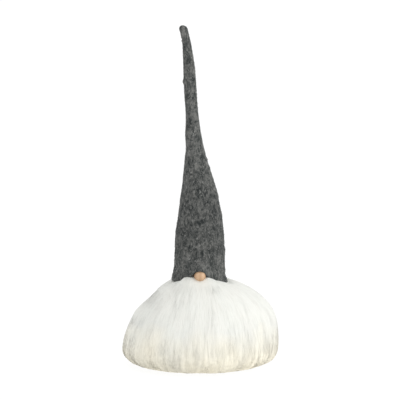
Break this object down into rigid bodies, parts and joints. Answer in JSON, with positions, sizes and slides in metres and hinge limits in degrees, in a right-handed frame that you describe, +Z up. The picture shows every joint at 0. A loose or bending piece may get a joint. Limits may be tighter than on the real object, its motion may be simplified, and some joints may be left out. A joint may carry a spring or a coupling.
{
  "type": "felt-hatted gnome figurine",
  "caption": "Tomte gnome: a squat round body of long combed wool on a weighted base, a small round wooden nose, and a tall, slender felt hat that bends on its wire.",
  "frame": {"origin": "centre of the base, on the surface that the figure stands on", "axes": "+Z up to the tip of the hat, -Y to the front, where the nose is"},
  "size_m": [0.203, 0.203, 0.4459],
  "materials": {
    "hat_felt": "matte",
    "wool": "matte",
    "bead_wood": "satin",
    "pad_felt": "matte",
    "board_wood": "matte",
    "post_wood": "matte",
    "screw_steel": "satin",
    "wire_metal": "satin",
    "pouch_cotton": "matte",
    "wadding": "matte",
    "pellets": "matte",
    "cord": "matte",
    "thread": "matte",
    "hide_leather": "matte"
  },
  "bodies": {
    "base": {"base_pad": "pad_felt", "base_board": "board_wood", "post_screw": "screw_steel", "center_post": "post_wood", "inner_pouch": "pouch_cotton", "ballast_pellets": "pellets", "body_stuffing": "wadding", "neck_tie": "cord", "hem_cord": "cord", "pelt_hide": "hide_leather", "wool_pile": "wool", "nose_bead": "bead_wood", "nose_thread": "thread", "hat_stuffing": "wadding", "hat_cone": "hat_felt", "hat_bend_low": "hat_felt", "wire_base": "wire_metal"},
    "hat_middle_section": {"hat_middle": "hat_felt", "hat_bend_mid": "hat_felt", "wire_middle": "wire_metal"},
    "hat_upper_section": {"hat_upper": "hat_felt", "hat_bend_tip": "hat_felt", "wire_upper": "wire_metal"},
    "hat_tip_section": {"hat_tip": "hat_felt", "wire_tip": "wire_metal"}
  },
  "joints": [
    {"name": "hat_low_bend", "type": "hinge", "parent": "base", "child": "hat_middle_section", "pos_m": [-0.0052, 0, 0.262], "axis": [0, 1, 0], "range_deg": [-25, 25], "deforming": ["hat_bend_low"]},
    {"name": "hat_mid_bend", "type": "hinge", "parent": "hat_middle_section", "child": "hat_upper_section", "pos_m": [-0.0122, 0, 0.352], "axis": [1, 0, 0], "range_deg": [-40, 40], "deforming": ["hat_bend_mid"]},
    {"name": "hat_tip_bend", "type": "hinge", "parent": "hat_upper_section", "child": "hat_tip_section", "pos_m": [-0.0188, 0, 0.425], "axis": [0, 1, 0], "range_deg": [-60, 60], "deforming": ["hat_bend_tip"]}
  ]
}
